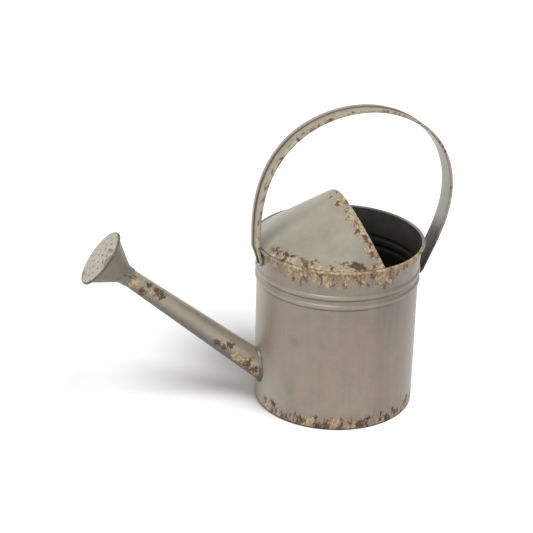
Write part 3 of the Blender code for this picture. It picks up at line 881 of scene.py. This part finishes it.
def on_wall(point, direction, radius):
    """Slide a point along a direction to the outside of an upright cylinder."""
    a = direction.x ** 2 + direction.y ** 2
    b = point.x * direction.x + point.y * direction.y
    c = point.x ** 2 + point.y ** 2 - radius ** 2
    return point + direction * ((-b + math.sqrt(b * b - a * c)) / a)


def bezier(start, start_pull, end_pull, end, steps):
    """Points of a cubic curve, without its first point."""
    points = []
    for i in range(1, steps + 1):
        t = i / steps
        s = 1.0 - t
        points.append(
            start * s ** 3 + start_pull * 3.0 * s * s * t + end_pull * 3.0 * s * t * t + end * t ** 3
        )
    return points


def handle_path():
    """Middle line of the strap in the XZ plane, from the front tail to the rear tail.

    Each station gives a place, the way the strap runs there, how far it holds that way
    before and after the place, and the steps of the curve to the next station.
    """
    half = STRAP_HEM / 2.0
    rest_top = FRONT_TAIL_TIP + FRONT_TAIL_REST
    front_pad = -(wall_radius(rest_top) + GAP + half)
    front_leg = -(LIP_RADIUS + FRONT_STAND + half)
    rear_pad = WALL_RADIUS + GAP + half
    rear_way = Vector((-math.cos(REAR_KNEE_SLOPE), -math.sin(REAR_KNEE_SLOPE)))
    up = Vector((0.0, 1.0))
    back = Vector((1.0, 0.0))
    stations = [
        (Vector((front_pad, FRONT_TAIL_TIP)), up, 0.0, BEND_PULL, 1),
        (Vector((front_pad, rest_top)), up, BEND_PULL, BEND_PULL, HANDLE_BEND_STEPS),
        (Vector((front_leg, FRONT_LEG_FOOT)), up, BEND_PULL, BEND_PULL, 1),
        (Vector((front_leg, FRONT_LEG_TOP)), up, BEND_PULL, HANDLE_PULLS[0], HANDLE_STEPS),
        (Vector(CROWN), back, HANDLE_PULLS[1], HANDLE_PULLS[2], HANDLE_STEPS),
        (Vector(BACK), -up, HANDLE_PULLS[3], HANDLE_PULLS[4], HANDLE_STEPS),
        (Vector(REAR_KNEE), rear_way, HANDLE_PULLS[5], BEND_PULL, HANDLE_BEND_STEPS),
        (Vector((rear_pad, REAR_PAD_TOP)), -up, BEND_PULL, BEND_PULL, 1),
        (Vector((rear_pad, REAR_PAD_TOP - REAR_TAIL)), -up, BEND_PULL, BEND_PULL, 1),
    ]
    path = [stations[0][0]]
    for here, following in zip(stations, stations[1:]):
        start, way, _, pull, steps = here
        end, end_way, end_pull, _, _ = following
        path += bezier(start, start + way * pull, end - end_way * end_pull, end, steps)
    return [Vector((point.x, 0.0, point.y)) for point in path]


def strap_section():
    """Section of the strap as (across, out): flat inside, a folded hem along each edge outside."""
    radius = STRAP_HEM / 2.0
    middle = STRAP_WIDTH / 2.0 - radius
    fold = STRAP_WIDTH / 2.0 - HEM_FOLD
    right = arc((middle, 0.0), radius, -90.0, 90.0, HEM_STEPS)
    right += arc((fold + HEM_FOLD_ROUND, radius - HEM_FOLD_ROUND), HEM_FOLD_ROUND, 90.0, 180.0, EDGE_STEPS)
    right.append((fold, STRAP_SHEET - radius))
    left = [(-across, out) for across, out in reversed(right)]
    return right + left


def line_object(name, points, closed):
    """Points joined by edges, as the input of a swept or drilled shape."""
    mesh = bpy.data.meshes.new(name)
    edges = [(i, i + 1) for i in range(len(points) - 1)]
    if closed:
        edges.append((len(points) - 1, 0))
    mesh.from_pydata(points, edges, [])
    made = bpy.data.objects.new(name, mesh)
    bpy.context.scene.collection.objects.link(made)
    return made


def shape_tree(name, sockets):
    """New Geometry Nodes tree with named inputs; returns its graph and its input node."""
    tree = bpy.data.node_groups.new(name, "GeometryNodeTree")
    tree.interface.new_socket("Geometry", in_out="OUTPUT", socket_type="NodeSocketGeometry")
    tree.interface.new_socket("Geometry", in_out="INPUT", socket_type="NodeSocketGeometry")
    for label, kind in sockets:
        tree.interface.new_socket(label, in_out="INPUT", socket_type=kind)
    graph = Graph(tree)
    return graph, graph.node("NodeGroupInput")


def end_tree(graph, geometry, group):
    """Close a tree: real geometry with its material."""
    real = graph.node("GeometryNodeRealizeInstances", inputs={0: geometry})
    painted = graph.node("GeometryNodeSetMaterial", inputs={
        "Geometry": real.outputs[0], "Material": group.outputs["Material"]})
    graph.node("NodeGroupOutput", inputs={0: painted.outputs[0]})


def run_tree(piece, graph, values):
    """Run a tree on a piece, with its inputs set by the identifiers of their sockets."""
    modifier = piece.modifiers.new(graph.tree.name, "NODES")
    modifier.node_group = graph.tree
    for socket in graph.tree.interface.items_tree:
        if socket.in_out == "INPUT" and socket.name in values:
            modifier[socket.identifier] = values[socket.name]
    return applied(piece)


def perforation_tree():
    """Tree that drills rings of holes, one in the middle and six more in each ring."""
    graph, group = shape_tree("Perforation", (
        ("Rings", "NodeSocketInt"), ("Holes Per Ring", "NodeSocketInt"), ("Ring Pitch", "NodeSocketFloat"),
        ("Hole Radius", "NodeSocketFloat"), ("Hole Sides", "NodeSocketInt"), ("Drill Length", "NodeSocketFloat"),
        ("Material", "NodeSocketMaterial")))
    rings = Value(graph, group.outputs["Rings"])
    per_ring = Value(graph, group.outputs["Holes Per Ring"])
    pitch = Value(graph, group.outputs["Ring Pitch"])
    count = rings * (rings + 1.0) * per_ring / 2.0 + 1.0
    index = graph.value("GeometryNodeInputIndex")
    root = ((index - 1.0).most(0.0) * 8.0 / per_ring + 1.0).math("SQRT")
    ring = (root / 2.0 + 0.5).math("FLOOR") * index.least(1.0)
    first = ring * (ring - 1.0) * per_ring / 2.0 + index.least(1.0)
    angle = (index - first) * math.tau / (ring * per_ring).most(1.0)
    place = graph.node("ShaderNodeCombineXYZ", inputs={
        0: ring * pitch * angle.math("COSINE"), 1: ring * pitch * angle.math("SINE")})
    points = graph.node("GeometryNodePoints", inputs={"Count": count, "Position": place.outputs[0]})
    drill = graph.node("GeometryNodeMeshCylinder", {"fill_type": "NGON"}, {
        "Vertices": group.outputs["Hole Sides"], "Radius": group.outputs["Hole Radius"],
        "Depth": group.outputs["Drill Length"]})
    drills = graph.node("GeometryNodeInstanceOnPoints", inputs={
        "Points": points.outputs[0], "Instance": drill.outputs["Mesh"]})
    solid = graph.node("GeometryNodeRealizeInstances", inputs={0: drills.outputs[0]})
    cut = graph.node("GeometryNodeMeshBoolean", {"operation": "DIFFERENCE", "solver": "EXACT"}, {
        "Mesh 1": group.outputs["Geometry"], "Mesh 2": solid.outputs[0]})
    end_tree(graph, cut.outputs["Mesh"], group)
    return graph


def strap_tree():
    """Tree that sweeps a section along a path in the XZ plane and narrows its first tail."""
    graph, group = shape_tree("Swept Strap", (
        ("Section", "NodeSocketObject"), ("Tail Tip", "NodeSocketFloat"), ("Tail Top", "NodeSocketFloat"),
        ("Tail Share", "NodeSocketFloat"), ("Material", "NodeSocketMaterial")))
    path = graph.node("GeometryNodeMeshToCurve", inputs={"Mesh": group.outputs["Geometry"]})
    square = graph.node("GeometryNodeSetCurveNormal", {"mode": "FREE"}, {
        "Curve": path.outputs[0], "Normal": (0.0, 1.0, 0.0)})
    found = graph.node("GeometryNodeObjectInfo", inputs={"Object": group.outputs["Section"]})
    section = graph.node("GeometryNodeMeshToCurve", inputs={"Mesh": found.outputs["Geometry"]})
    swept = graph.node("GeometryNodeCurveToMesh", inputs={
        "Curve": square.outputs[0], "Profile Curve": section.outputs[0], "Fill Caps": True})
    position = graph.node("GeometryNodeInputPosition").outputs[0]
    parts = graph.node("ShaderNodeSeparateXYZ", inputs={0: position})
    x, y, z = (Value(graph, socket) for socket in parts.outputs)
    tip = Value(graph, group.outputs["Tail Tip"])
    top = Value(graph, group.outputs["Tail Top"])
    share = Value(graph, group.outputs["Tail Share"])
    height = ((z - tip) / (top - tip)).most(0.0).least(1.0).most(x.math("GREATER_THAN", 0.0))
    wide = share + (1.0 - share) * height
    narrowed = graph.node("ShaderNodeCombineXYZ", inputs={0: x, 1: y * wide, 2: z})
    tapered = graph.node("GeometryNodeSetPosition", inputs={
        "Geometry": swept.outputs[0], "Position": narrowed.outputs[0]})
    end_tree(graph, tapered.outputs[0], group)
    return graph


class CAN_OT_wall(bpy.types.Operator):
    """Build the wall with its beads, wired edge, lapped seam and spout hole"""

    bl_idname = "watering_can.wall"
    bl_label = "Wall"

    def execute(self, context):
        settings = context.scene.watering_can
        outside, inside = wall_profile(settings.shape.bead_rise)
        columns = wall_columns(settings.shape.wall_columns)
        rings = []
        for radius, height in outside:
            lifts = height <= FLARE_START
            ring = []
            for angle, rise in columns:
                reach = radius + (rise if lifts else 0.0)
                ring.append(Vector((reach * math.cos(angle), reach * math.sin(angle), height)))
            rings.append(ring)
        for radius, height in inside:
            rings.append([Vector((radius * math.cos(a), radius * math.sin(a), height)) for a, _ in columns])
        built = skin(rings, closed_path=True)
        piece = show_piece("can_body", built, outside_finish(settings.worn), inside_finish(settings.worn))
        drill = show_piece("spout_hole_cutter", skin(
            [circle(SPOUT_FOOT_RADIUS - SHEET, end, SPOUT_STEPS) for end in (-SPOUT_DRILL_REACH, SPOUT_DRILL_REACH)],
            closed_path=False))
        drill.data.transform(spout_place())
        cut = piece.modifiers.new("spout hole", "BOOLEAN")
        cut.operation = "DIFFERENCE"
        cut.solver = "EXACT"
        cut.object = drill
        applied(piece)
        bpy.data.objects.remove(drill, do_unlink=True)

        def in_bore(face):
            """Whether a face belongs to the wall's inner side, below the wired edge."""
            middle = face.center
            reach = wall_radius(middle.z) - SHEET / 2.0 + settings.shape.bead_rise
            faces_in = face.normal.x * middle.x + face.normal.y * middle.y < 0.0
            return faces_in and math.hypot(middle.x, middle.y) < reach and middle.z < WIRE_HEIGHT

        paint_inside(piece, in_bore)
        piece.data.set_sharp_from_angle(angle=SMOOTH_ANGLE)
        stand_for(piece, "can_wall")
        return {"FINISHED"}


class CAN_OT_base(bpy.types.Operator):
    """Build the flat bottom with its edge turned up inside the foot of the wall"""

    bl_idname = "watering_can.base"
    bl_label = "Bottom"

    def execute(self, context):
        worn = context.scene.watering_can.worn
        radius = WALL_BORE_RADIUS - GAP
        profile = arc((radius - SHEET, SHEET), SHEET, -90.0, 0.0, EDGE_STEPS)
        profile += [
            (radius, BASE_FLANGE),
            (radius - SHEET, BASE_FLANGE),
            (radius - SHEET, SHEET * 2.0),
            (radius - SHEET * 2.0, SHEET),
        ]
        rings = [circle(r, z, ROUND_STEPS) for r, z in profile]
        piece = show_piece("can_bottom", skin(rings, closed_path=False), base_finish(worn), inside_finish(worn))
        paint_inside(piece, lambda face: face.center.z > SHEET / 2.0)
        stand_for(piece, "base_disc")
        return {"FINISHED"}


class CAN_OT_cover(bpy.types.Operator):
    """Build the arched half cover with its skirt inside the mouth"""

    bl_idname = "watering_can.cover"
    bl_label = "Half cover"

    def execute(self, context):
        worn = context.scene.watering_can.worn
        turns = [2.0 * i / COVER_STEPS - 1.0 for i in range(COVER_STEPS + 1)]
        ups = [i / COVER_ROWS for i in range(COVER_ROWS + 1)]
        rings = []
        for turn in turns:
            outer = [cover_skirt(turn, 0.0)] + [cover_point(turn, up, 0.0) for up in ups]
            inner = [cover_skirt(turn, SHEET)] + [cover_point(turn, up, SHEET) for up in ups]
            rings.append(outer + inner[::-1])
        piece = show_piece("half_cover_sheet", skin(rings, closed_path=False), cover_finish(worn),
                           inside_finish(worn))
        middle = Vector((-WALL_RADIUS / 3.0, 0.0, RIM_HEIGHT - WALL_RADIUS))
        paint_inside(piece, lambda face: face.normal.dot(face.center - middle) < 0.0)
        stand_for(piece, "half_cover")
        return {"FINISHED"}


class CAN_OT_spout(bpy.types.Operator):
    """Build the tapered spout, cut and flared to the round of the wall"""

    bl_idname = "watering_can.spout"
    bl_label = "Spout"

    def execute(self, context):
        place = spout_place()
        turned = place.to_3x3()
        axis = turned @ Vector((0.0, 0.0, 1.0))
        taper = (SPOUT_MOUTH_RADIUS - SPOUT_FOOT_RADIUS) / SPOUT_LENGTH
        seat = WALL_RADIUS + GAP

        def foot_ring(extra, lift):
            """Ring on the wall's round, lifted along the tube."""
            ring = []
            for point in circle(1.0, 0.0, SPOUT_STEPS):
                side = turned @ point
                slant = axis + side * taper
                start = place.translation + side * (SPOUT_FOOT_RADIUS + extra)
                ring.append(on_wall(start, slant, seat) + slant * lift)
            return ring

        mouth = [place @ point for point in circle(SPOUT_MOUTH_RADIUS, SPOUT_LENGTH, SPOUT_STEPS)]
        bore = [place @ point for point in circle(SPOUT_MOUTH_RADIUS - SHEET, SPOUT_LENGTH, SPOUT_STEPS)]
        outer = []
        for i in range(SPOUT_FLARE_ROWS + 1):
            share = i / SPOUT_FLARE_ROWS
            outer.append(foot_ring(SPOUT_FLARE * (1.0 - share) ** 2, SPOUT_FLARE_LENGTH * share))
        inner = [foot_ring(-SHEET, SPOUT_FLARE_LENGTH), foot_ring(-SHEET, 0.0)]
        start = outer[-1]
        for i in range(1, SPOUT_ROWS + 1):
            outer.append([a.lerp(b, i / SPOUT_ROWS) for a, b in zip(start, mouth)])
        piece = show_piece("spout_tube", skin(outer + [bore] + inner, closed_path=True),
                           spout_finish(context.scene.watering_can.worn))
        stand_for(piece, "spout")
        return {"FINISHED"}


class CAN_OT_rose_cone(bpy.types.Operator):
    """Build the rose's funnel with the collar that slips over the spout"""

    bl_idname = "watering_can.rose_cone"
    bl_label = "Rose funnel"

    def execute(self, context):
        neck = COLLAR_BORE_RADIUS + SHEET
        wide = ROSE_RADIUS - ROSE_EDGE_ROUND - GAP
        slope = math.atan2(ROSE_CONE_LENGTH, wide - neck)
        wall = SHEET / math.sin(slope)
        profile = [
            (neck, -ROSE_COLLAR_LENGTH),
            (neck, -ROSE_NECK_BLEND),
            (neck + ROSE_NECK_BLEND * math.cos(slope), ROSE_NECK_BLEND * math.sin(slope)),
            (wide, ROSE_CONE_LENGTH),
            (wide - wall, ROSE_CONE_LENGTH),
            (COLLAR_BORE_RADIUS, (wall - SHEET) * math.tan(slope)),
            (COLLAR_BORE_RADIUS, -ROSE_COLLAR_LENGTH),
        ]
        rings = [circle(r, z + SPOUT_LENGTH, ROSE_STEPS) for r, z in profile]
        built = skin(rings, closed_path=True)
        bmesh.ops.transform(built, matrix=spout_place(), verts=built.verts)
        piece = show_piece("rose_funnel", built, cone_finish(context.scene.watering_can.worn))
        stand_for(piece, "rose_cone")
        return {"FINISHED"}


class CAN_OT_rose_plate(bpy.types.Operator):
    """Build the domed face of the rose and drill it in rings"""

    bl_idname = "watering_can.rose_plate"
    bl_label = "Rose face"

    def execute(self, context):
        settings = context.scene.watering_can
        reach = ROSE_RADIUS - ROSE_EDGE_ROUND
        sphere = (reach ** 2 + ROSE_DOME ** 2) / (2.0 * ROSE_DOME)

        def dome(radius):
            """Height of the dome above its shoulder."""
            return math.sqrt(sphere ** 2 - radius ** 2) - (sphere - ROSE_DOME)

        stations = [reach * i / ROSE_DOME_STEPS for i in range(1, ROSE_DOME_STEPS)]
        outside = [(r, dome(r)) for r in stations]
        outside += reversed(arc((reach, -ROSE_EDGE_ROUND), ROSE_EDGE_ROUND, 0.0, 90.0, EDGE_STEPS))
        outside.append((ROSE_RADIUS, -SHEET - ROSE_SKIRT))
        inside = [
            (ROSE_RADIUS - SHEET, -SHEET - ROSE_SKIRT),
            (ROSE_RADIUS - SHEET, -ROSE_EDGE_ROUND),
            (reach, -SHEET),
        ]
        inside += [(r, dome(r) - SHEET) for r in reversed(stations)]
        rings = [circle(r, z, ROSE_STEPS) for r, z in outside + inside]
        finish = plate_finish(settings.worn)
        piece = show_piece("rose_face", skin(rings, closed_path=False), finish)
        run_tree(piece, perforation_tree(), {
            "Rings": settings.shape.hole_rings, "Holes Per Ring": ROSE_HOLES_PER_RING,
            "Ring Pitch": ROSE_RING_PITCH, "Hole Radius": settings.shape.hole_radius,
            "Hole Sides": ROSE_HOLE_SIDES, "Drill Length": ROSE_DRILL_LENGTH, "Material": finish})
        face = SPOUT_LENGTH + ROSE_CONE_LENGTH + GAP + SHEET
        piece.data.transform(spout_place() @ Matrix.Translation((0.0, 0.0, face)))
        piece.data.set_sharp_from_angle(angle=SMOOTH_ANGLE)
        stand_for(piece, "rose_plate")
        return {"FINISHED"}


class CAN_OT_handle(bpy.types.Operator):
    """Sweep the hemmed strap along the handle's path"""

    bl_idname = "watering_can.handle"
    bl_label = "Handle"

    def execute(self, context):
        settings = context.scene.watering_can
        path = line_object("strap_handle", handle_path(), closed=False)
        section = line_object("strap_section", [(a, b, 0.0) for a, b in strap_section()], closed=True)
        finish = strap_outside_finish(settings.worn)
        piece = run_tree(path, strap_tree(), {
            "Section": section, "Tail Tip": FRONT_TAIL_TIP, "Tail Top": FRONT_LEG_FOOT,
            "Tail Share": settings.shape.tail_width / STRAP_WIDTH, "Material": finish})
        bpy.data.objects.remove(section, do_unlink=True)
        built = bmesh.new()
        built.from_mesh(piece.data)
        bmesh.ops.recalc_face_normals(built, faces=built.faces)
        built.to_mesh(piece.data)
        built.free()
        piece.data.materials.clear()
        for side in (finish, strap_inside_finish(settings.worn)):
            piece.data.materials.append(side)
        middle = Vector((CROWN[0], 0.0, BACK[1]))

        def looks_in(face):
            """Whether a face looks at the middle of the arch and isn't on one of the strap's edges."""
            inward = (middle - face.center).normalized()
            return face.normal.dot(inward) > INWARD_SHARE and abs(face.normal.y) < SIDEWAYS_SHARE

        paint_inside(piece, looks_in)
        piece.data.shade_smooth()
        piece.data.set_sharp_from_angle(angle=SMOOTH_ANGLE)
        stand_for(piece, "handle")
        return {"FINISHED"}


def seen_directly(graph):
    """Share that is 1 where the camera or a reflection looks straight at something."""
    path = graph.node("ShaderNodeLightPath")
    camera, glossy, through = (
        Value(graph, path.outputs[f"Is {kind} Ray"]) for kind in ("Camera", "Glossy", "Transmission"))
    return camera.most(glossy).most(through)


def add_lamp(light, place, aim, lit):
    """Lamp at a place that shines along aim and lights only some objects."""
    lamp = bpy.data.objects.new(light.name, light)
    lamp.location = place
    lamp.rotation_euler = aim.to_track_quat("-Z", "Y").to_euler()
    bpy.context.scene.collection.objects.link(lamp)
    receivers = bpy.data.collections.new(f"lit_by_{light.name}")
    for item in lit:
        receivers.objects.link(item)
    lamp.light_linking.receiver_collection = receivers


class CAN_OT_stage(bpy.types.Operator):
    """Build the floor, the lamps, the white surroundings and the camera"""

    bl_idname = "watering_can.stage"
    bl_label = "Stage"

    def execute(self, context):
        settings = context.scene.watering_can.stage
        pieces = [item for item in context.scene.objects if item.type == "MESH"]
        floor = self.floor(settings.floor_gain)
        self.surroundings(context.scene, settings.ambient)
        self.key_lamp(settings.key_strength, settings.key_angle, floor)
        self.soft_lamp(settings.soft_power, pieces)
        self.camera(context.scene)
        context.scene.view_settings.view_transform = "Standard"
        return {"FINISHED"}

    @staticmethod
    def floor(gain):
        """White floor that keeps the can's shadow."""
        half = FLOOR_SIZE / 2.0
        built = bmesh.new()
        corners = [(-half, -half), (half, -half), (half, half), (-half, half)]
        built.faces.new([built.verts.new((x, y, 0.0)) for x, y in corners])
        graph = Finish("plain_floor")
        lit = graph.node("ShaderNodeBsdfDiffuse", inputs={"Color": (*FLOOR_BOUNCE, 1.0)})
        bright = graph.node("ShaderNodeBsdfDiffuse", inputs={"Color": (gain, gain, gain, 1.0)})
        mixed = graph.node("ShaderNodeMixShader", inputs={
            0: seen_directly(graph), 1: lit.outputs[0], 2: bright.outputs[0]})
        graph.node("ShaderNodeOutputMaterial", inputs={"Surface": mixed.outputs[0]})
        floor = show_piece("floor", built, graph.material)
        return floor

    @staticmethod
    def surroundings(scene, ambient):
        """Even white light all round, at full strength where the camera or a reflection sees it."""
        world = bpy.data.worlds.new("white_surroundings")
        world.use_nodes = True
        scene.world = world
        graph = Graph(world.node_tree)
        strength = ambient + seen_directly(graph) * (1.0 - ambient)
        back = graph.node("ShaderNodeBackground", inputs={"Color": (1.0, 1.0, 1.0, 1.0), "Strength": strength})
        graph.node("ShaderNodeOutputWorld", inputs={"Surface": back.outputs[0]})

    @staticmethod
    def key_lamp(strength, angle, floor):
        """Lamp from above the can's front right, for the floor and the shadow on it."""
        light = bpy.data.lights.new("key_lamp", "SUN")
        light.energy = strength
        light.angle = angle
        add_lamp(light, Vector(), -Vector(KEY_WAY), [floor])

    @staticmethod
    def soft_lamp(power, pieces):
        """Large square lamp at the can's front left, for the can alone."""
        light = bpy.data.lights.new("soft_lamp", "AREA")
        light.energy = power
        light.size = SOFT_LAMP_SIZE
        place = Vector(SOFT_LAMP_PLACE)
        add_lamp(light, place, Vector((0.0, 0.0, RIM_HEIGHT / 2.0)) - place, pieces)

    @staticmethod
    def camera(scene):
        """Camera at the picture's angle."""
        lens = bpy.data.cameras.new("camera")
        lens.lens = CAMERA_LENS
        lens.sensor_width = CAMERA_SENSOR
        camera = bpy.data.objects.new("camera", lens)
        aim = Vector(CAMERA_WAY).to_track_quat("-Z", "Y").to_matrix().to_4x4()
        camera.matrix_world = Matrix.Translation(CAMERA_PLACE) @ aim @ Matrix.Rotation(CAMERA_ROLL, 4, "Z")
        scene.collection.objects.link(camera)
        scene.camera = camera


class CAN_PT_panel(bpy.types.Panel):
    """Sidebar panel of the watering can"""

    bl_idname = "CAN_PT_panel"
    bl_label = "Watering Can"
    bl_space_type = "VIEW_3D"
    bl_region_type = "UI"
    bl_category = "Watering Can"

    def draw(self, context):
        settings = context.scene.watering_can
        for group in (settings.shape, settings.worn, settings.stage):
            box = self.layout.box()
            for name in group.__annotations__:
                box.prop(group, name)
        for operator in OPERATORS:
            self.layout.operator(operator.bl_idname)


OPERATORS = (
    CAN_OT_wall,
    CAN_OT_base,
    CAN_OT_cover,
    CAN_OT_spout,
    CAN_OT_rose_cone,
    CAN_OT_rose_plate,
    CAN_OT_handle,
    CAN_OT_stage,
)

CLASSES = (
    WornSettings,
    ShapeSettings,
    StageSettings,
    WateringCanSettings,
    *OPERATORS,
    CAN_PT_panel,
)


def register():
    """Add the classes and the settings to Blender."""
    for item in CLASSES:
        bpy.utils.register_class(item)
    bpy.types.Scene.watering_can = PointerProperty(type=WateringCanSettings)


def unregister():
    """Take the classes and the settings out again."""
    del bpy.types.Scene.watering_can
    for item in reversed(CLASSES):
        bpy.utils.unregister_class(item)


def main():
    """Build the can and its stage."""
    register()
    for operator in OPERATORS:
        group, name = operator.bl_idname.split(".")
        getattr(getattr(bpy.ops, group), name)()


if __name__ == "__main__":
    main()
